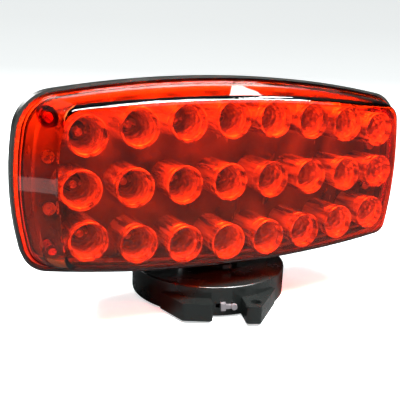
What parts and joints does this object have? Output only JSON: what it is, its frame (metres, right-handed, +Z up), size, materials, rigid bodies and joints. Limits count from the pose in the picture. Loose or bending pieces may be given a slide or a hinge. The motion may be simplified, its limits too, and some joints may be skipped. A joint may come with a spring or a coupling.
{
  "type": "magnetic tow light",
  "caption": "Battery tow light: a bowed clear red lens over rows of reflector cups, on a black housing that swivels on a round magnet base.",
  "frame": {"origin": "on the swivel axis, at the magnet base's resting face", "axes": "+Z up along the swivel axis, +X along the lens's long side, the lens faces -Y"},
  "size_m": [0.165, 0.0753, 0.09],
  "materials": {
    "red_lens": "clear moulded red polycarbonate, gloss",
    "rubber": "matte black rubber",
    "pale_silicone": "natural silicone, satin",
    "black_housing": "moulded black plastic, satin gloss",
    "black_base": "moulded black plastic, gloss on top",
    "screw_steel": "zinc-plated steel",
    "bolt_steel": "zinc-plated steel",
    "spring_steel": "spring steel",
    "pot_steel": "nickel-plated steel",
    "chromed_plastic": "vacuum-metallised plastic, mirror bright",
    "led_epoxy": "clear epoxy",
    "metallised_tray": "vacuum-metallised plastic, satin mirror",
    "dark_carrier": "dark moulded plastic",
    "circuit_board": "solder mask",
    "chip_black": "moulded epoxy",
    "cell_jacket": "printed sleeve, left plain",
    "socket_nylon": "natural nylon",
    "insulated_wire": "insulated hook-up wire",
    "ferrite": "sintered ferrite",
    "slider_grey": "pale grey moulded plastic"
  },
  "bodies": {
    "base": {"base_shell": "black_base", "rubber_pad": "rubber", "pot_cup": "pot_steel", "magnet_ring": "ferrite", "retainer_ring": "black_base", "retainer_screws": "screw_steel", "stop_pin": "bolt_steel", "switch_body": "chip_black", "switch_leads": "insulated_wire"},
    "head": {"lens": "red_lens", "lens_gasket": "pale_silicone", "rear_housing": "black_housing", "lens_screws": "screw_steel", "reflector_cups_top": "chromed_plastic", "reflector_cups_middle": "chromed_plastic", "reflector_cups_bottom": "chromed_plastic", "leds": "led_epoxy", "optic_carrier": "metallised_tray", "led_board": "circuit_board", "led_resistors": "chip_black", "board_screws": "screw_steel", "battery_tray": "dark_carrier", "battery_cells": "cell_jacket", "battery_springs": "spring_steel", "battery_door": "black_housing", "door_gasket": "rubber", "door_screws": "screw_steel", "control_board": "circuit_board", "control_parts": "chip_black", "lead_socket": "socket_nylon", "antenna": "insulated_wire", "battery_leads": "insulated_wire", "led_leads": "insulated_wire", "swivel_bolt": "bolt_steel", "swivel_seal_ring": "rubber", "thrust_washer": "black_base", "swivel_nut": "bolt_steel", "spring_washer": "spring_steel"},
    "slider": {"switch_slider": "slider_grey"}
  },
  "joints": [
    {"name": "head_swivel", "type": "hinge", "parent": "base", "child": "head", "pos_m": [0, 0, 0.0124], "axis": [0, 0, 1], "range_deg": [-180, 150]},
    {"name": "power_switch", "type": "slide", "parent": "base", "child": "slider", "axis": [-0.9636, 0.2672, 0], "range_m": [0, 0.003]}
  ]
}
